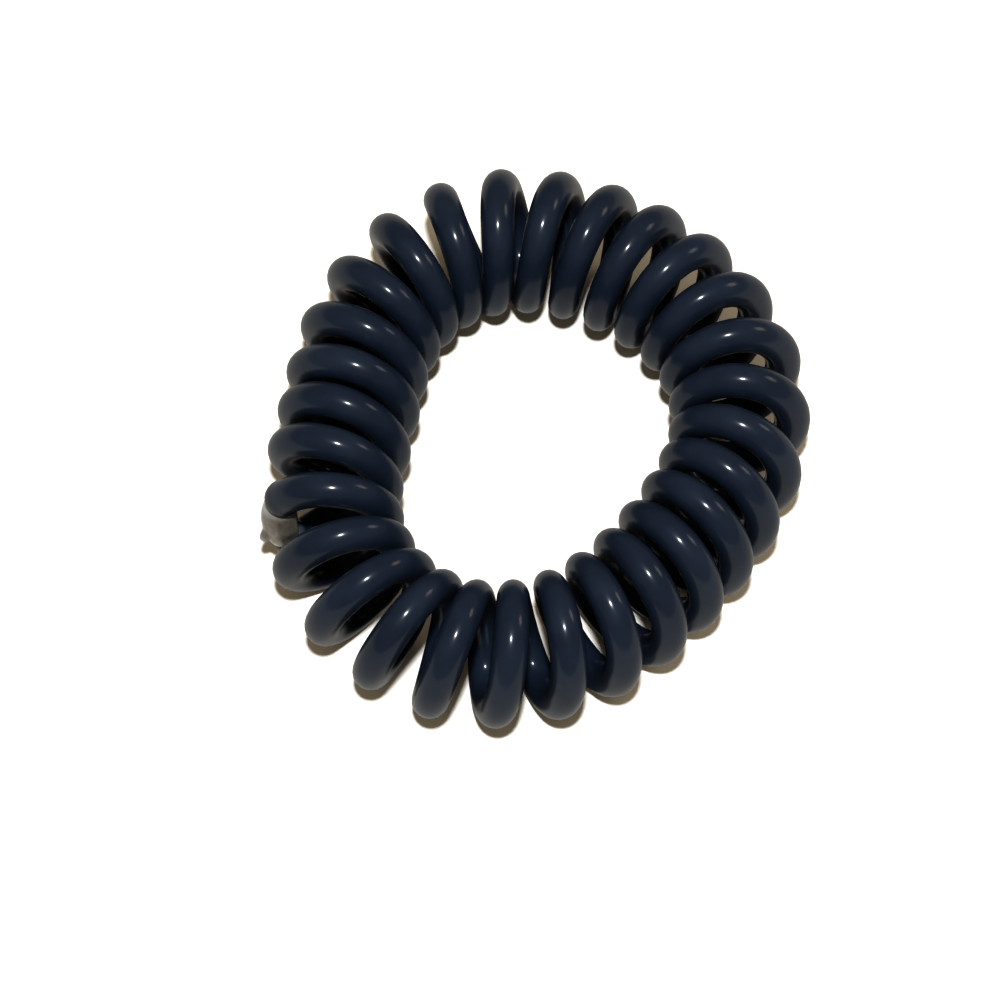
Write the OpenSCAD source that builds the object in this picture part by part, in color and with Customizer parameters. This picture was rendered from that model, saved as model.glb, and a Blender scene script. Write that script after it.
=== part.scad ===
// Spiral hair tie: one plastic strand wound into a coil, bent round into a ring and
// welded to itself. It lies flat, and the hole of the ring points up.

/* [Ring] */
// Distance from the middle of the ring to the middle of the coil, on average
ring_r = 19; // [17:0.5:28]
// Number of turns of the coil; fewer are made where these wouldn't fit side by side
turns = 28; // [18:1:28]
// Direction of the weld round the ring, in degrees
weld_dir = 200; // [0:1:359]

/* [Coil] */
// Thickness of the strand
cord_d = 3.2; // [2:0.1:3.4]
// Share of its thickness that the strand is pressed flatter by, where its turns touch
cord_press = 0.12; // [0:0.01:0.14]
// Width of the coil, from outside to outside of the strand
coil_w = 12.6; // [10.6:0.2:13.6]
// Height of the coil, from the surface it lies on to its top
coil_h = 15.6; // [12:0.2:18]

/* [Weld] */
// Thickness of the milky bead that joins the two ends
bead_d = 3.3; // [2:0.1:4]
// Length of the bead along the strand
bead_len = 4; // [3:0.1:5]
// Gap between the bead and each end of the strand
bead_gap = 0.08; // [0.05:0.01:0.2]
// How far the bead's middle is below the outermost point of its turn, in degrees
bead_low = 6; // [0:1:12]
// How far the joint is pushed in towards the middle of the ring
weld_in = 0; // [0:0.1:1]
// How far the joint is pushed along the ring, counter-clockwise
weld_aside = 2.2; // [0:0.1:2.4]
// How far the furthest point of that bend is below the bead's middle, in degrees
bend_low = 25; // [0:1:30]
// Length of the nub of flash, from the middle of the bead
flash_len = 2.5; // [1.8:0.1:3]
// Thickness of the nub of flash where it leaves the bead
flash_d = 1.4; // [0.6:0.1:1.8]

/* [Mesh] */
// Flat sides round the strand
cord_sides = 12; // [8:1:14]
// Rings of points in each turn of the strand
rings_per_turn = 16; // [12:1:18]

/* [Hidden] */

// A row for every section of the ring. All sections hold the same number of turns. The
// first row is at the weld, and the rows go counter-clockwise seen from above. The ring
// runs smoothly past the rows, a little inside the far ones.
// Columns: degrees round the ring from the weld; how far out, as a share of ring_r.
sections = [
    [1, 1.04],
    [27, 1.12],
    [51, 1.12],
    [76, 1.01],
    [102, 0.88],
    [130, 0.84],
    [157, 0.94],
    [184, 1.01],
    [211, 1.01],
    [235, 1.02],
    [260, 1.08],
    [285, 1.05],
    [311, 0.93],
    [336, 0.87]
];
degrees_round = 0;
how_far_out = 1;

// Columns: share of the rounded length of an end of the strand; share of cord_d there
end_shape = [
    [0, 0.78],
    [0.3, 0.97],
    [0.6, 1.04],
    [1, 1]
];
end_len = cord_d * 0.6;

// Columns: share of bead_len from the upper end of the strand; share of bead_d there
bead_shape = [
    [0, 0.72],
    [0.1, 0.9],
    [0.3, 1],
    [0.6, 1],
    [0.85, 0.88],
    [1, 0.68]
];

// Columns: share of flash_len; share of flash_d there
flash_shape = [
    [0, 1.3],
    [0.5, 1.1],
    [0.8, 0.8],
    [1, 0.4]
];
// Way the nub points: out from the coil's middle line, along the ring, and up
flash_way = [0.7, 0.6, -0.4];
flash_sides = 10;

cord_r = cord_d / 2;
loop_r = (coil_w - cord_d) / 2;
loop_h = (coil_h - cord_d) / 2;

// The turns lie closest on the inner side of the coil, at the tightest bend of the ring,
// where they are this many times closer than the even share of the inner side's length
tightest = 1.1;
least_gap = 0.05;
pressed_d = cord_d * (1 - cord_press);
turns_that_fit = floor(2 * PI * (ring_r - loop_r) / (tightest * (pressed_d + least_gap)));
turn_count = min(turns, turns_that_fit);
sections_per_turn = len(sections) / turn_count;

// Turns are counted from the top of the turn with the weld. A quarter turn before its
// top, that turn is at its outermost point, and the bead's middle is a little lower.
bead_middle = -(90 + bead_low) / 360;
turn_len = PI * (loop_r + loop_h);
bead_part = bead_len / turn_len;
gap_part = bead_gap / turn_len;
strand_start = bead_middle + bead_part / 2 + gap_part;
strand_end = turn_count + bead_middle - bead_part / 2 - gap_part;
bend_middle = bead_middle - bend_low / 360;
// Share of a turn over which the strand bends above that point, and below it
bend_above = 0.14;
bend_below = 0.16;

function unit(v) = v / norm(v);

// A value of the table, at a row that may be before its start or after its end
function section(i, column) =
    let (times_round = floor(i / len(sections)))
    sections[i - times_round * len(sections)][column]
        + (column == degrees_round ? 360 * times_round : 0);

// A column of the table at any number of turns, on a smooth curve along its rows
function smooth(t, column) =
    let (
        i = floor(t * sections_per_turn),
        f = t * sections_per_turn - i,
        a = section(i - 1, column),
        b = section(i, column),
        c = section(i + 1, column),
        d = section(i + 2, column)
    )
    (a * pow(1 - f, 3)
        + b * (4 - 6 * pow(f, 2) + 3 * pow(f, 3))
        + c * (1 + 3 * f + 3 * pow(f, 2) - 3 * pow(f, 3))
        + d * pow(f, 3)) / 6;

// The line in the middle of the coil
function ring_line(t) =
    let (angle = weld_dir + smooth(t, degrees_round))
    ring_r * smooth(t, how_far_out) * [cos(angle), sin(angle)];

// Directions along that line, and across it, away from the hole
function round_ring(t) = unit(ring_line(t + 0.01) - ring_line(t - 0.01));
function across(t) = [round_ring(t)[1], -round_ring(t)[0]];

// Angle in the turn: 0 at the outermost point of the coil, 90 at the top
function winding(t) = 360 * t + 90;

// Direction from the middle of the coil to the strand
function outward(t) = [
    cos(winding(t)) * across(t)[0],
    cos(winding(t)) * across(t)[1],
    sin(winding(t))
];

// 1 in the middle of the bend at the weld, falling smoothly to 0 on each side of it
function near_weld(t) =
    let (
        off = (t < turn_count / 2 ? t : t - turn_count) - bend_middle,
        d = abs(off) / (off > 0 ? bend_above : bend_below)
    )
    d < 1 ? pow(1 - d * d, 2) : 0;

// Middle of the strand
function middle(t) =
    let (
        flat = ring_line(t)
            + loop_r * cos(winding(t)) * across(t)
            + near_weld(t) * (weld_aside * round_ring(t) - weld_in * across(t))
    )
    [flat[0], flat[1], cord_r + loop_h + loop_h * sin(winding(t))];

// Direction in which the strand goes on
function along(t) = unit(middle(t + 0.001) - middle(t - 0.001));

// The strand's width along the ring, as a share of its thickness: narrowest on the inner
// side of the coil, where it is pressed between the turns next to it
function pressed(t) = 1 - cord_press * pow((1 - cos(winding(t))) / 2, 2);

// Ring of points round a middle, at the distance r, square to the direction way; to both
// sides the distance is r times narrow
function points_round(middle, way, up, r, n, narrow = 1) =
    let (
        side = unit(cross(way, up)),
        front = cross(side, way)
    )
    [for (k = [0 : n - 1])
        middle + r * (cos(360 * k / n) * front + narrow * sin(360 * k / n) * side)];

// Closed body through rings of points
module body_through(rings) {
    n = len(rings[0]);
    last = (len(rings) - 1) * n;
    polyhedron(
        points = [for (ring = rings) for (point = ring) point],
        faces = concat(
            [[for (k = [0 : n - 1]) k]],
            [[for (k = [n - 1 : -1 : 0]) last + k]],
            [for (i = [0 : len(rings) - 2]) for (k = [0 : n - 1])
                [i * n + k, (i + 1) * n + k, i * n + (k + 1) % n]],
            [for (i = [0 : len(rings) - 2]) for (k = [0 : n - 1])
                [(i + 1) * n + k, (i + 1) * n + (k + 1) % n, i * n + (k + 1) % n]]
        )
    );
}

// Body along the strand's route; each stop is a number of turns and a radius
module strand_body(stops) {
    body_through([for (stop = stops)
        points_round(middle(stop[0]), along(stop[0]), outward(stop[0]), stop[1], cord_sides,
            pressed(stop[0]))]);
}

module coil() {
    end_part = end_len / turn_len;
    from = strand_start + end_part;
    to = strand_end - end_part;
    steps = ceil((to - from) * rings_per_turn);
    last_row = len(end_shape) - 1;
    color("midnightblue")
        strand_body(concat(
            [for (row = end_shape) [strand_start + row[0] * end_part, row[1] * cord_r]],
            [for (i = [1 : steps - 1]) [from + (to - from) * i / steps, cord_r]],
            [for (i = [last_row : -1 : 0])
                [strand_end - end_shape[i][0] * end_part, end_shape[i][1] * cord_r]]
        ));
}

module weld() {
    lower = bead_middle - bead_part / 2;
    last_row = len(bead_shape) - 1;
    across_here = across(bead_middle);
    round_here = round_ring(bead_middle);
    way = unit([
        flash_way[0] * across_here[0] + flash_way[1] * round_here[0],
        flash_way[0] * across_here[1] + flash_way[1] * round_here[1],
        flash_way[2]
    ]);
    color("lightgray") {
        strand_body([for (i = [last_row : -1 : 0])
            [lower + (1 - bead_shape[i][0]) * bead_part, bead_shape[i][1] * bead_d / 2]]);
        body_through([for (row = flash_shape)
            points_round(middle(bead_middle) + row[0] * flash_len * way, way,
                along(bead_middle), row[1] * flash_d / 2, flash_sides)]);
    }
}

coil();
weld();
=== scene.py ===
import math

import bpy
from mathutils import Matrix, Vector


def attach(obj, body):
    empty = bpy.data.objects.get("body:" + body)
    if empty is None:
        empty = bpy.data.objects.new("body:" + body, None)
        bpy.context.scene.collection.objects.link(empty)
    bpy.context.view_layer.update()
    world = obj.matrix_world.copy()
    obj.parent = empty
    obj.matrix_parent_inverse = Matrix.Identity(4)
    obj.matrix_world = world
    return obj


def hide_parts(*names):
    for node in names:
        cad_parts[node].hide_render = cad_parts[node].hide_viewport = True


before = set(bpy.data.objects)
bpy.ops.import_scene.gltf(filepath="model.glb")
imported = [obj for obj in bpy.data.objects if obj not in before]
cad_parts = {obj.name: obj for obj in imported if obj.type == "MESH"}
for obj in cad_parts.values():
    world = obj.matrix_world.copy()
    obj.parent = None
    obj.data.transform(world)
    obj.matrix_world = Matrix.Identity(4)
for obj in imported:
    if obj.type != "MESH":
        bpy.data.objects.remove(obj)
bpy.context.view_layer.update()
scene = bpy.context.scene
print("frame loaded:", sorted(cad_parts))


# Working with node trees

class Wire:
    # a number or a vector on its way through a node tree, for writing sums the plain way
    def __init__(self, tree, socket):
        self.tree = tree
        self.socket = socket

    def sum(self, operation, *others):
        node = self.tree.nodes.new("ShaderNodeMath")
        node.operation = operation
        for i, value in enumerate((self,) + others):
            feed(self.tree, node.inputs[i], value)
        return Wire(self.tree, node.outputs[0])

    def __add__(self, other):
        return self.sum("ADD", other)

    def __radd__(self, other):
        return self.sum("ADD", other)

    def __sub__(self, other):
        return self.sum("SUBTRACT", other)

    def __rsub__(self, other):
        return (self * -1) + other

    def __mul__(self, other):
        return self.sum("MULTIPLY", other)

    def __rmul__(self, other):
        return self.sum("MULTIPLY", other)

    def __truediv__(self, other):
        return self.sum("DIVIDE", other)

    def __pow__(self, other):
        return self.sum("POWER", other)

    def floor(self):
        return self.sum("FLOOR")

    def wrap(self, other):
        return self.sum("FLOORED_MODULO", other)

    def cos(self):
        return self.sum("COSINE")

    def sin(self):
        return self.sum("SINE")

    def abs(self):
        return self.sum("ABSOLUTE")

    def under(self, other):
        return self.sum("LESS_THAN", other)

    def least(self, other):
        return self.sum("MINIMUM", other)


def feed(tree, socket, value):
    # puts a number, a colour, a socket or a Wire into a socket
    if isinstance(value, Wire):
        value = value.socket
    if isinstance(value, bpy.types.NodeSocket):
        tree.links.new(value, socket)
    else:
        socket.default_value = value


def addNode(tree, kind, settings=None, **inputs):
    # a node with its settings and inputs; an input's name has spaces for underscores
    node = tree.nodes.new(kind)
    for name, value in (settings or {}).items():
        setattr(node, name, value)
    for name, value in inputs.items():
        feed(tree, node.inputs[name.replace("_", " ")], value)
    return node


def addGroup(name, inputs, outputs):
    # a geometry tree with these named inputs, each with its kind, and its value or None
    tree = bpy.data.node_groups.new(name, "GeometryNodeTree")
    for label, (kind, value) in inputs.items():
        socket = tree.interface.new_socket(label, in_out="INPUT", socket_type="NodeSocket" + kind)
        if value is not None:
            socket.default_value = value
    for label, kind in outputs.items():
        tree.interface.new_socket(label, in_out="OUTPUT", socket_type="NodeSocket" + kind)
    given = tree.nodes.new("NodeGroupInput")
    made = tree.nodes.new("NodeGroupOutput")
    return tree, {k: Wire(tree, given.outputs[k]) for k in inputs}, made


def setInput(modifier, label, value):
    # a modifier's input goes by its socket's identifier
    for item in modifier.node_group.interface.items_tree:
        if item.item_type == "SOCKET" and item.in_out == "INPUT" and item.name == label:
            modifier[item.identifier] = value
            return
    raise KeyError(label)


def makeMesh(name, base, tree, values):
    # runs the tree on a copy of the base points and keeps the result as a plain mesh
    holder = bpy.data.objects.new(name + "Holder", base)
    scene.collection.objects.link(holder)
    modifier = holder.modifiers.new("Nodes", "NODES")
    modifier.node_group = tree
    for label, value in values.items():
        setInput(modifier, label, value)
    shape = holder.evaluated_get(bpy.context.evaluated_depsgraph_get())
    mesh = bpy.data.meshes.new_from_object(shape)
    holder.modifiers.clear()
    bpy.data.objects.remove(holder)
    piece = bpy.data.objects.new(name, mesh)
    mesh.name = name
    scene.collection.objects.link(piece)
    mesh.calc_loop_triangles()
    print(name, "has", len(mesh.loop_triangles), "triangles")
    return piece


def vectorSum(tree, operation, one, other=None, scale=None):
    node = addNode(tree, "ShaderNodeVectorMath", {"operation": operation})
    feed(tree, node.inputs[0], one)
    if other is not None:
        feed(tree, node.inputs[1], other)
    if scale is not None:
        feed(tree, node.inputs["Scale"], scale)
    return node.outputs["Value" if operation in ("DOT_PRODUCT", "DISTANCE") else "Vector"]


def storeMark(tree, geometry, kind, label, value):
    node = addNode(tree, "GeometryNodeStoreNamedAttribute", {"data_type": kind, "domain": "POINT"},
                   Geometry=geometry, Name=label)
    feed(tree, node.inputs["Value"], value)
    return node.outputs[0]


def takeMark(tree, kind, label):
    node = addNode(tree, "GeometryNodeInputNamedAttribute", {"data_type": kind}, Name=label)
    return node.outputs[0]


def shapeCurve(tree, value, points):
    # a smooth curve through points from 0 to 1, read at the value
    node = addNode(tree, "ShaderNodeFloatCurve")
    curve = node.mapping.curves[0]
    while len(curve.points) < len(points):
        curve.points.new(0.5, 0.5)
    node.mapping.use_clip = False
    for point, (x, y) in zip(curve.points, points):
        point.location = (x, y)
    node.mapping.update()
    feed(tree, node.inputs["Factor"], 1.0)
    feed(tree, node.inputs["Value"], value)
    return Wire(tree, node.outputs[0])


def finishTree(tree, made, geometry, material):
    # smooth shading, no instances left, and the material
    smooth = addNode(tree, "GeometryNodeSetShadeSmooth", Geometry=geometry)
    real = addNode(tree, "GeometryNodeRealizeInstances", Geometry=smooth.outputs[0])
    paint = addNode(tree, "GeometryNodeSetMaterial", Geometry=real.outputs[0], Material=material)
    feed(tree, made.inputs["Geometry"], paint.outputs[0])


# Working with materials

def newMaterial(name):
    material = bpy.data.materials.new(name)
    material.use_nodes = True
    tree = material.node_tree
    shader = tree.nodes["Principled BSDF"]
    coordinates = tree.nodes.new("ShaderNodeTexCoord").outputs["Object"]
    return material, tree, shader, coordinates


def blendColours(tree, value, span, low, high):
    # one colour up to the start of the span, the other from its end on
    ramp = addNode(tree, "ShaderNodeValToRGB", Fac=value)
    for element, place, colour in zip(ramp.color_ramp.elements, span, (low, high)):
        element.position = place
        element.color = (*colour, 1)
    return ramp.outputs["Color"]


def mixColours(tree, share, one, other):
    mix = addNode(tree, "ShaderNodeMix", {"data_type": "RGBA"})
    feed(tree, mix.inputs["Factor"], share)
    feed(tree, mix.inputs[6], one)          # the sockets of its two colours
    feed(tree, mix.inputs[7], other)
    return mix.outputs[2]


def addSkin(tree, shader, coordinates, pattern, skin):
    # gloss that varies with the pattern, and a fine unevenness
    gloss = addNode(tree, "ShaderNodeMapRange", Value=pattern)
    feed(tree, gloss.inputs["To Min"], skin["roughness"] - skin["glossier"])
    feed(tree, gloss.inputs["To Max"], skin["roughness"] + skin["duller"])
    feed(tree, shader.inputs["Roughness"], gloss.outputs["Result"])
    grain = addNode(tree, "ShaderNodeTexNoise", Vector=coordinates, Scale=skin["grain"],
                    Detail=skin["grainDetail"], Roughness=0.5)
    bump = addNode(tree, "ShaderNodeBump", Height=grain.outputs["Fac"],
                   Strength=skin["grainStrength"], Distance=skin["grainHeight"])
    feed(tree, shader.inputs["Normal"], bump.outputs["Normal"])


# The ring, in metres; the same sizes as in the part's source

ring = {
    "radius": 0.019,
    "turns": 28,
    "weldDirection": 200.0,     # degrees round the ring
    # degrees round from the weld, and how far out as a share of the radius
    "sections": [
        (1, 1.04), (27, 1.12), (51, 1.12), (76, 1.01), (102, 0.88), (130, 0.84), (157, 0.94),
        (184, 1.01), (211, 1.01), (235, 1.02), (260, 1.08), (285, 1.05), (311, 0.93), (336, 0.87),
    ],
}
coilShape = {
    "thickness": 0.0032,        # of the strand
    "press": 0.12,              # share that it is flatter where the turns touch
    "width": 0.0126,            # of the coil, over the strand
    "height": 0.0156,
}
weldPlace = {
    "low": 6.0,                 # degrees below the outermost point of its turn
    "length": 0.004,
    "aside": 0.0022,            # how far the strand bends along the ring there
    "bendLow": 25.0,            # degrees below the bead, where the bend goes furthest
    "bendAbove": 0.14,          # shares of a turn
    "bendBelow": 0.16,
}

loopRadius = (coilShape["width"] - coilShape["thickness"]) / 2
loopHeight = (coilShape["height"] - coilShape["thickness"]) / 2
turnLength = math.pi * (loopRadius + loopHeight)
weldTurn = -(90 + weldPlace["low"]) / 360
bendTurn = weldTurn - weldPlace["bendLow"] / 360


def makeSectionPoints():
    # one point for each section of the ring, which carries its direction and its reach
    mesh = bpy.data.meshes.new("ringSections")
    mesh.from_pydata([(0, 0, 0)] * len(ring["sections"]), [], [])
    direction = mesh.attributes.new("direction", "FLOAT", "POINT")
    reach = mesh.attributes.new("reach", "FLOAT", "POINT")
    for i, (degrees, share) in enumerate(ring["sections"]):
        direction.data[i].value = math.radians(ring["weldDirection"] + degrees)
        reach.data[i].value = share * ring["radius"]
    return mesh


def makeRouteGroup():
    # where the strand's middle runs, for any number of turns from the top of the weld's turn
    tree, given, made = addGroup("strandRoute", {
        "Sections": ("Geometry", None),
        "Turn": ("Float", 0.0),
        "Turns": ("Float", float(ring["turns"])),
        "Section Count": ("Float", float(len(ring["sections"]))),
        "Loop Radius": ("Float", loopRadius),
        "Loop Height": ("Float", loopHeight),
        "Strand Radius": ("Float", coilShape["thickness"] / 2),
        "Bend Turn": ("Float", bendTurn),
        "Weld Aside": ("Float", weldPlace["aside"]),
        "Bend Above": ("Float", weldPlace["bendAbove"]),
        "Bend Below": ("Float", weldPlace["bendBelow"]),
    }, {"Position": "Vector", "Outward": "Vector", "Round Ring": "Vector", "Across": "Vector",
        "Inner Side": "Float"})
    turn, count = given["Turn"], given["Section Count"]
    row = turn * count / given["Turns"]
    first = row.floor()
    f = row - first

    def takeFrom(label, step, lap):
        # a section's value, and one more lap of the ring for each time round
        sample = addNode(tree, "GeometryNodeSampleIndex", {"data_type": "FLOAT", "domain": "POINT"},
                         Geometry=given["Sections"], Value=takeMark(tree, "FLOAT", label))
        place = first + step
        feed(tree, sample.inputs["Index"], place.wrap(count))
        value = Wire(tree, sample.outputs[0])
        return value + (place / count).floor() * lap if lap else value

    # weights of a smooth curve along four sections, and of its slope
    weights = [
        (1 - f) ** 3 / 6,
        (4 - 6 * f ** 2 + 3 * f ** 3) / 6,
        (1 + 3 * f + 3 * f ** 2 - 3 * f ** 3) / 6,
        f ** 3 / 6,
    ]
    slopes = [
        (1 - f) ** 2 * -0.5,
        (3 * f ** 2 - 4 * f) * 0.5,
        (1 + 2 * f - 3 * f ** 2) * 0.5,
        f ** 2 * 0.5,
    ]

    def blendOf(values, shares):
        total = values[0] * shares[0]
        for value, share in zip(values[1:], shares[1:]):
            total = total + value * share
        return total

    directions = [takeFrom("direction", k, 2 * math.pi) for k in (-1, 0, 1, 2)]
    reaches = [takeFrom("reach", k, 0) for k in (-1, 0, 1, 2)]
    angle, reach = blendOf(directions, weights), blendOf(reaches, weights)
    angleSlope, reachSlope = blendOf(directions, slopes), blendOf(reaches, slopes)
    stepX = reachSlope * angle.cos() - reach * angleSlope * angle.sin()
    stepY = reachSlope * angle.sin() + reach * angleSlope * angle.cos()
    long = (stepX ** 2 + stepY ** 2) ** 0.5
    alongX, alongY = stepX / long, stepY / long
    acrossX, acrossY = alongY, alongX * -1

    # 1 in the middle of the bend at the weld, falling to 0 on each side of it
    above = turn.under(given["Turns"] * 0.5)
    far = turn - given["Bend Turn"] - (1 - above) * given["Turns"]
    bend = (1 - far.under(0)) * given["Bend Above"] + far.under(0) * given["Bend Below"]
    nearWeld = (1 - (far.abs() / bend).least(1) ** 2) ** 2

    winding = turn * (2 * math.pi) + math.pi / 2
    out = given["Loop Radius"] * winding.cos()
    aside = nearWeld * given["Weld Aside"]
    place = addNode(tree, "ShaderNodeCombineXYZ",
                    X=reach * angle.cos() + out * acrossX + aside * alongX,
                    Y=reach * angle.sin() + out * acrossY + aside * alongY,
                    Z=given["Strand Radius"] + given["Loop Height"] * (1 + winding.sin()))
    outward = addNode(tree, "ShaderNodeCombineXYZ", X=winding.cos() * acrossX,
                      Y=winding.cos() * acrossY, Z=winding.sin())
    along = addNode(tree, "ShaderNodeCombineXYZ", X=alongX, Y=alongY, Z=0.0)
    across = addNode(tree, "ShaderNodeCombineXYZ", X=acrossX, Y=acrossY, Z=0.0)
    feed(tree, made.inputs["Position"], place.outputs[0])
    feed(tree, made.inputs["Outward"], outward.outputs[0])
    feed(tree, made.inputs["Round Ring"], along.outputs[0])
    feed(tree, made.inputs["Across"], across.outputs[0])
    feed(tree, made.inputs["Inner Side"], ((1 - winding.cos()) / 2) ** 2)
    return tree


def lineOfPoints(tree, count):
    line = addNode(tree, "GeometryNodeCurvePrimitiveLine")
    points = addNode(tree, "GeometryNodeResampleCurve", Curve=line.outputs[0], Count=count)
    return points.outputs[0]


def tubeRound(tree, curve, sides):
    # a closed tube, as thick as the curve's own radius says
    circle = addNode(tree, "GeometryNodeCurvePrimitiveCircle", Resolution=sides, Radius=1.0)
    tube = addNode(tree, "GeometryNodeCurveToMesh", Curve=curve,
                   Profile_Curve=circle.outputs[0], Fill_Caps=True)
    if "Scale" in tube.inputs:
        feed(tree, tube.inputs["Scale"], addNode(tree, "GeometryNodeInputRadius").outputs[0])
    return tube.outputs[0]


def sweepAlong(tree, route, sections, turn, count, radius, sides, press, marks):
    # a tube of so many points, whose middle runs along the route, pressed on its inner side
    where = addNode(tree, "GeometryNodeGroup", {"node_tree": route}, Sections=sections, Turn=turn)
    laid = addNode(tree, "GeometryNodeSetPosition", Geometry=lineOfPoints(tree, count),
                   Position=where.outputs["Position"])
    wide = addNode(tree, "GeometryNodeSetCurveRadius", Curve=laid.outputs[0], Radius=radius)
    curve = wide.outputs[0]
    for label, value in marks.items():
        curve = storeMark(tree, curve, "FLOAT", label, value)
    tangent = addNode(tree, "GeometryNodeInputTangent").outputs[0]
    toSide = vectorSum(tree, "CROSS_PRODUCT", tangent, where.outputs["Outward"])
    curve = storeMark(tree, curve, "FLOAT_VECTOR", "side", vectorSum(tree, "NORMALIZE", toSide))
    middle = addNode(tree, "GeometryNodeInputPosition").outputs[0]
    curve = storeMark(tree, curve, "FLOAT_VECTOR", "middle", middle)
    curve = storeMark(tree, curve, "FLOAT", "innerSide", where.outputs["Inner Side"])
    tube = tubeRound(tree, curve, sides)
    spot = addNode(tree, "GeometryNodeInputPosition").outputs[0]
    side = takeMark(tree, "FLOAT_VECTOR", "side")
    fromMiddle = vectorSum(tree, "SUBTRACT", spot, takeMark(tree, "FLOAT_VECTOR", "middle"))
    off = Wire(tree, vectorSum(tree, "DOT_PRODUCT", fromMiddle, side))
    inward = off * Wire(tree, takeMark(tree, "FLOAT", "innerSide")) * press * -1
    pressed = addNode(tree, "GeometryNodeSetPosition", Geometry=tube,
                      Offset=vectorSum(tree, "SCALE", side, scale=inward))
    return pressed.outputs[0]


# The strand

strand = {
    "pointsPerTurn": 76,
    "sides": 24,
    "gap": 0.00008,             # to the weld, at each end
    "endLength": 0.0018,
    "endPoints": 8,
    # from the very end, thickness as a share of shapeUnit times the strand's
    "endShape": [(0, 0.6), (0.12, 0.73), (0.3, 0.83), (0.55, 0.875), (1, 0.8333)],
    "shapeUnit": 1.2,
    "unevenness": 0.000025,     # slow swelling of the extruded strand
    "swells": 2.3,              # noise scale, per turn
}


def makeStrand(route):
    tree, given, made = addGroup("woundStrand", {
        "Geometry": ("Geometry", None),
        "First Turn": ("Float", None),
        "Last Turn": ("Float", None),
        "Points": ("Int", None),
        "Sides": ("Int", None),
        "Strand Radius": ("Float", None),
        "Press": ("Float", None),
        "End Part": ("Float", None),
        "End Points": ("Float", None),
        "Unevenness": ("Float", None),
        "Material": ("Material", None),
    }, {"Geometry": "Geometry"})
    index = Wire(tree, addNode(tree, "GeometryNodeInputIndex").outputs[0])
    first, last = given["First Turn"], given["Last Turn"]
    part, few = given["End Part"], given["End Points"]
    rest = given["Points"] - 1 - index
    # the points lie closer together near both ends
    atStart = index.under(few)
    atEnd = rest.under(few)
    share = (index - few) / (given["Points"] - 1 - few * 2)
    turn = (atStart * (first + part * index / few)
            + atEnd * (last - part * rest / few)
            + (1 - atStart) * (1 - atEnd) * (first + part + (last - first - part * 2) * share))
    fromEnd = ((turn - first) / part).least((last - turn) / part).least(1)
    shape = shapeCurve(tree, fromEnd, strand["endShape"])
    swell = addNode(tree, "ShaderNodeTexNoise", {"noise_dimensions": "1D"}, W=turn,
                    Scale=strand["swells"], Detail=2.0)
    uneven = (Wire(tree, swell.outputs[0]) - 0.5) * given["Unevenness"]
    radius = given["Strand Radius"] * strand["shapeUnit"] * shape + uneven
    tube = sweepAlong(tree, route, given["Geometry"], turn, given["Points"], radius,
                      given["Sides"], given["Press"], {"turn": turn, "fromEnd": fromEnd})
    finishTree(tree, made, tube, given["Material"])
    halfBead = (weldPlace["length"] / 2 + strand["gap"]) / turnLength
    piece = makeMesh("woundStrand", sectionPoints, tree, {
        "First Turn": weldTurn + halfBead,
        "Last Turn": ring["turns"] + weldTurn - halfBead,
        "Points": ring["turns"] * strand["pointsPerTurn"],
        "Sides": strand["sides"],
        "Strand Radius": coilShape["thickness"] / 2,
        "Press": coilShape["press"],
        "End Part": strand["endLength"] / turnLength,
        "End Points": float(strand["endPoints"]),
        "Unevenness": strand["unevenness"],
        "Material": strandMaterial(),
    })
    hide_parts("coil")
    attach(piece, "root")


plastic = {
    "deep": (0.0122, 0.0186, 0.032),
    "pale": (0.0168, 0.0248, 0.0412),
    "patches": 260.0,           # noise scale, per metre
    "patchSpan": (0.35, 0.7),
    "endTint": (0.05, 0.058, 0.07),
    "endSpan": (0.05, 0.6),     # shares of the rounded end's length
    "ior": 1.12,
    "coat": 0.12,
    "coatIor": 2.0,
    "coatRoughness": 0.17,
    "roughness": 0.42,
    "glossier": 0.05,
    "duller": 0.08,
    "grain": 2600.0,
    "grainDetail": 2.0,
    "grainStrength": 0.25,
    "grainHeight": 0.000006,
}


def strandMaterial():
    material, tree, shader, coordinates = newMaterial("navySoftPlastic")
    patches = addNode(tree, "ShaderNodeTexNoise", Vector=coordinates, Scale=plastic["patches"],
                      Detail=3.0, Roughness=0.55)
    tone = blendColours(tree, patches.outputs["Fac"], plastic["patchSpan"],
                        plastic["deep"], plastic["pale"])
    # the melted ends are a little paler
    near = addNode(tree, "ShaderNodeAttribute", {"attribute_name": "fromEnd"})
    atEnd = blendColours(tree, near.outputs["Fac"], plastic["endSpan"], (1, 1, 1), (0, 0, 0))
    colour = mixColours(tree, atEnd, tone, (*plastic["endTint"], 1))
    feed(tree, shader.inputs["Base Color"], colour)
    addSkin(tree, shader, coordinates, patches.outputs["Fac"], plastic)
    shader.inputs["IOR"].default_value = plastic["ior"]
    shader.inputs["Coat Weight"].default_value = plastic["coat"]
    shader.inputs["Coat Roughness"].default_value = plastic["coatRoughness"]
    shader.inputs["Coat IOR"].default_value = plastic["coatIor"]
    return material


# The weld

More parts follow.
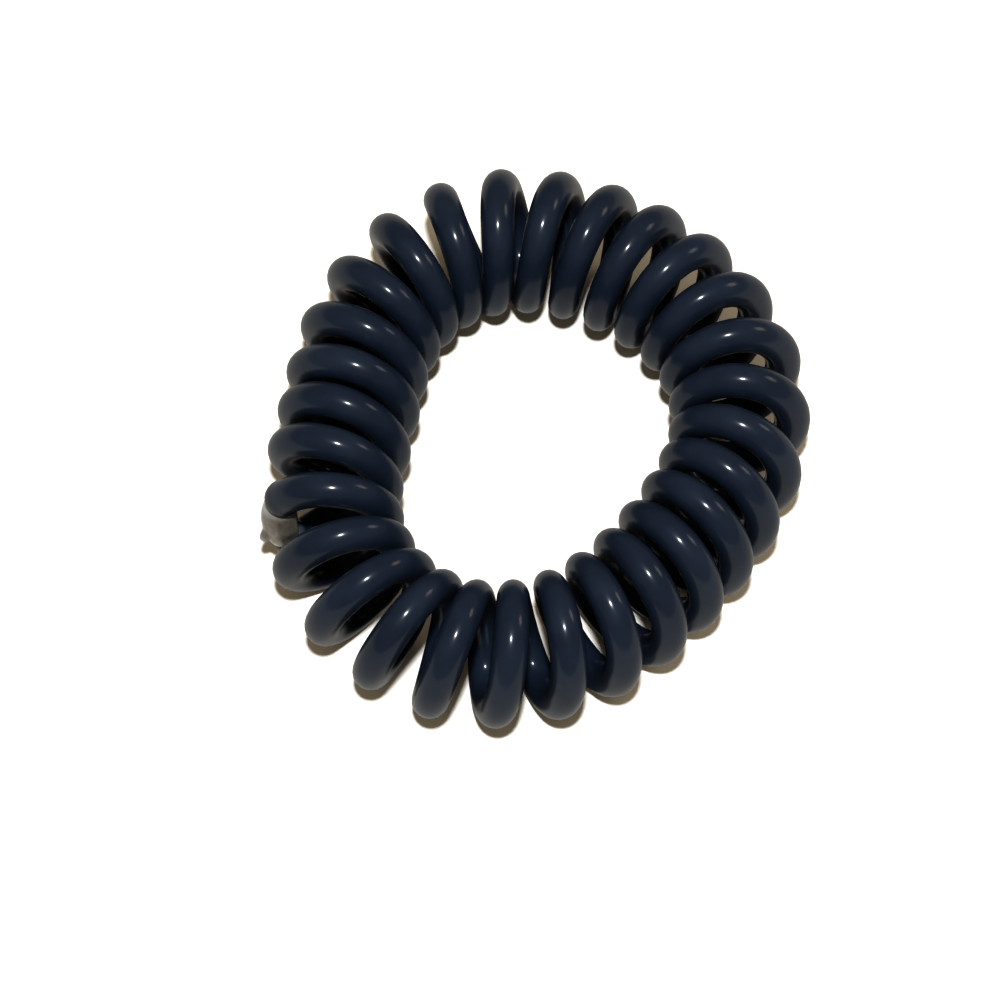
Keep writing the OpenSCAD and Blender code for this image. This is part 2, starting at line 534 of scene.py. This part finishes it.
bead = {
    "thickness": 0.0033,
    "points": 28,
    "sides": 32,
    # from the lower end to the upper end, thickness as a share of the bead's
    "shape": [(0, 0.68), (0.15, 0.88), (0.4, 1.0), (0.7, 1.0), (0.9, 0.9), (1, 0.72)],
    "grain": 0.00008,           # size of the cells it is melted together from
    "bandCells": 6,
    "skinLevel": 0.1,
    "easing": 4,                # rounds of smoothing
    "lumps": 0.00012,
    "lumpScale": 900.0,
    "lumpLevel": 0.55,
}
flash = {
    "length": 0.0025,
    "thickness": 0.0014,
    "outward": 0.7,             # the way that it points
    "roundRing": 0.6,
    "upward": -0.4,
    # from its foot to its tip, thickness as a share of shapeUnit times the nub's
    "shape": [(0, 1.0), (0.5, 0.85), (0.8, 0.62), (1, 0.3)],
    "shapeUnit": 1.3,
    "points": 16,
    "sides": 16,
}


def makeWeld(route):
    tree, given, made = addGroup("weldBead", {
        "Geometry": ("Geometry", None),
        "Weld Turn": ("Float", None),
        "Bead Part": ("Float", None),
        "Bead Radius": ("Float", None),
        "Points": ("Int", None),
        "Sides": ("Int", None),
        "Flash Way": ("Vector", None),
        "Flash Length": ("Float", None),
        "Flash Radius": ("Float", None),
        "Cell": ("Float", None),
        "Lumps": ("Float", None),
        "Material": ("Material", None),
    }, {"Geometry": "Geometry"})
    index = Wire(tree, addNode(tree, "GeometryNodeInputIndex").outputs[0])
    share = index / (given["Points"] - 1)
    turn = given["Weld Turn"] + (share - 0.5) * given["Bead Part"]
    radius = given["Bead Radius"] * shapeCurve(tree, share, bead["shape"])
    body = sweepAlong(tree, route, given["Geometry"], turn, given["Points"], radius,
                      given["Sides"], 0.0, {})

    def times(vector, number):
        return vectorSum(tree, "SCALE", vector, scale=number)

    def plus(one, other):
        return vectorSum(tree, "ADD", one, other)

    # the nub of flash starts at the bead's middle
    where = addNode(tree, "GeometryNodeGroup", {"node_tree": route},
                    Sections=given["Geometry"], Turn=given["Weld Turn"])
    middle = where.outputs["Position"]
    way = addNode(tree, "ShaderNodeSeparateXYZ", Vector=given["Flash Way"])
    upright = addNode(tree, "ShaderNodeCombineXYZ", X=0.0, Y=0.0, Z=way.outputs[2])
    flat = plus(times(where.outputs["Across"], way.outputs[0]),
                times(where.outputs["Round Ring"], way.outputs[1]))
    unit = vectorSum(tree, "NORMALIZE", plus(flat, upright.outputs[0]))
    outShare = index / (flash["points"] - 1)
    laid = addNode(tree, "GeometryNodeSetPosition", Geometry=lineOfPoints(tree, flash["points"]),
                   Position=plus(middle, times(unit, given["Flash Length"] * outShare)))
    thin = given["Flash Radius"] * flash["shapeUnit"] * shapeCurve(tree, outShare, flash["shape"])
    wide = addNode(tree, "GeometryNodeSetCurveRadius", Curve=laid.outputs[0], Radius=thin)
    both = addNode(tree, "GeometryNodeJoinGeometry")
    feed(tree, both.inputs[0], body)
    feed(tree, both.inputs[0], tubeRound(tree, wide.outputs[0], flash["sides"]))

    # both are melted into one skin, with soft lumps
    volume = addNode(tree, "GeometryNodeMeshToVolume", {"resolution_mode": "VOXEL_SIZE"},
                     Mesh=both.outputs[0])
    feed(tree, volume.inputs["Voxel Size"], given["Cell"])
    feed(tree, volume.inputs["Interior Band Width"], given["Cell"] * bead["bandCells"])
    skin = addNode(tree, "GeometryNodeVolumeToMesh", {"resolution_mode": "VOXEL_SIZE"},
                   Volume=volume.outputs[0])
    feed(tree, skin.inputs["Voxel Size"], given["Cell"])
    feed(tree, skin.inputs["Threshold"], bead["skinLevel"])
    place = addNode(tree, "GeometryNodeInputPosition").outputs[0]
    soft = addNode(tree, "GeometryNodeBlurAttribute", {"data_type": "FLOAT_VECTOR"},
                   Value=place, Iterations=bead["easing"])
    eased = addNode(tree, "GeometryNodeSetPosition", Geometry=skin.outputs[0],
                    Position=soft.outputs[0])
    normal = addNode(tree, "GeometryNodeInputNormal").outputs[0]
    noise = addNode(tree, "ShaderNodeTexNoise", Vector=place, Scale=bead["lumpScale"], Detail=2.0)
    push = (Wire(tree, noise.outputs[0]) - bead["lumpLevel"]) * given["Lumps"]
    lumpy = addNode(tree, "GeometryNodeSetPosition", Geometry=eased.outputs[0],
                    Offset=times(normal, push))
    marked = storeMark(tree, lumpy.outputs[0], "FLOAT", "fromMiddle",
                       vectorSum(tree, "DISTANCE", place, middle))
    finishTree(tree, made, marked, given["Material"])
    piece = makeMesh("weldBead", sectionPoints, tree, {
        "Weld Turn": weldTurn,
        "Bead Part": weldPlace["length"] / turnLength,
        "Bead Radius": bead["thickness"] / 2,
        "Points": bead["points"],
        "Sides": bead["sides"],
        "Flash Way": (flash["outward"], flash["roundRing"], flash["upward"]),
        "Flash Length": flash["length"],
        "Flash Radius": flash["thickness"] / 2,
        "Cell": bead["grain"],
        "Lumps": bead["lumps"],
        "Material": weldMaterial(),
    })
    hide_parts("weld")
    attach(piece, "root")


melt = {
    "milk": (0.2, 0.182, 0.16),
    "cloud": (0.09, 0.084, 0.076),
    "clouds": 700.0,            # noise scale, per metre
    "cloudSpan": (0.35, 0.62),
    "rim": (0.32, 0.33, 0.335),     # paler towards both ends and on the nub
    "rimFrom": 0.0019,          # distances from the bead's middle
    "rimTo": 0.0025,
    "ior": 1.5,
    "clearness": 0.35,
    "milkiness": 0.35,
    "milkDepth": 0.0006,
    "roughness": 0.3,
    "glossier": 0.1,
    "duller": 0.15,
    "grain": 2400.0,
    "grainDetail": 3.0,
    "grainStrength": 0.4,
    "grainHeight": 0.00004,
}


def weldMaterial():
    material, tree, shader, coordinates = newMaterial("milkyMelt")
    clouds = addNode(tree, "ShaderNodeTexNoise", Vector=coordinates, Scale=melt["clouds"],
                     Detail=4.0, Roughness=0.6)
    tone = blendColours(tree, clouds.outputs["Fac"], melt["cloudSpan"], melt["cloud"], melt["milk"])
    reach = addNode(tree, "ShaderNodeAttribute", {"attribute_name": "fromMiddle"})
    rim = addNode(tree, "ShaderNodeMapRange", {"interpolation_type": "SMOOTHSTEP"},
                  Value=reach.outputs["Fac"])
    feed(tree, rim.inputs["From Min"], melt["rimFrom"])
    feed(tree, rim.inputs["From Max"], melt["rimTo"])
    colour = mixColours(tree, rim.outputs["Result"], tone, (*melt["rim"], 1))
    feed(tree, shader.inputs["Base Color"], colour)
    addSkin(tree, shader, coordinates, clouds.outputs["Fac"], melt)
    shader.inputs["IOR"].default_value = melt["ior"]
    shader.inputs["Transmission Weight"].default_value = melt["clearness"]
    shader.inputs["Subsurface Weight"].default_value = melt["milkiness"]
    shader.inputs["Subsurface Scale"].default_value = melt["milkDepth"]
    return material


# Floor, lights and camera

studio = {
    "floorSize": 0.9,
    "floorColour": (0.84, 0.82, 0.77),
    "floorRoughness": 0.75,
    "surround": (1.0, 0.84, 0.6),
    "surroundStrength": 0.28,
}
camera = {
    "elevation": 67.6,
    "distance": 0.39,
    "lens": 154.5,
    "sensor": 36.0,
    "nearest": 0.01,            # distances that it sees between
    "furthest": 10.0,
    "aim": (-0.0033, -0.00225, 0.0),        # the floor point in the middle of the picture
}
lights = {
    # places are measured from the aimed point
    "flash": {"place": (0.0, -0.123, 0.571), "size": 0.036, "power": 3.8,
              "colour": (1.0, 1.0, 1.0)},
    "window": {"place": (0.33, 0.15, 0.22), "size": 0.13, "power": 0.22,
               "colour": (1.0, 0.86, 0.72)},
}


def makeFloor():
    half = studio["floorSize"] / 2
    corners = [(-half, -half, 0), (half, -half, 0), (half, half, 0), (-half, half, 0)]
    mesh = bpy.data.meshes.new("floor")
    mesh.from_pydata(corners, [], [(0, 1, 2, 3)])
    floor = bpy.data.objects.new("floor", mesh)
    scene.collection.objects.link(floor)
    material, _, shader, _ = newMaterial("paleFloor")
    shader.inputs["Base Color"].default_value = (*studio["floorColour"], 1)
    shader.inputs["Roughness"].default_value = studio["floorRoughness"]
    mesh.materials.append(material)


def makeCamera():
    tilt = math.radians(camera["elevation"])
    back = Vector((0, -math.cos(tilt), math.sin(tilt)))
    data = bpy.data.cameras.new("photoView")
    data.lens = camera["lens"]
    data.sensor_width = camera["sensor"]
    data.clip_start = camera["nearest"]
    data.clip_end = camera["furthest"]
    view = bpy.data.objects.new("photoView", data)
    view.location = Vector(camera["aim"]) + back * camera["distance"]
    view.rotation_euler = (math.pi / 2 - tilt, 0, 0)
    scene.collection.objects.link(view)
    scene.camera = view


def makeLights():
    aim = Vector(camera["aim"])
    for name, light in lights.items():
        data = bpy.data.lights.new(name, "AREA")
        data.shape = "DISK"
        data.size = light["size"]
        data.energy = light["power"]
        data.color = light["colour"]
        lamp = bpy.data.objects.new(name, data)
        lamp.location = aim + Vector(light["place"])
        lamp.rotation_euler = (aim - lamp.location).to_track_quat("-Z", "Y").to_euler()
        scene.collection.objects.link(lamp)
    world = bpy.data.worlds.new("surround")
    world.use_nodes = True
    sky = world.node_tree.nodes["Background"]
    sky.inputs["Color"].default_value = (*studio["surround"], 1)
    sky.inputs["Strength"].default_value = studio["surroundStrength"]
    scene.world = world
    scene.view_settings.view_transform = "Standard"
    scene.view_settings.look = "High Contrast"


sectionPoints = makeSectionPoints()
route = makeRouteGroup()
makeStrand(route)
makeWeld(route)
print("pieces made")
makeFloor()
makeCamera()
makeLights()
print("floor, lights and camera placed")
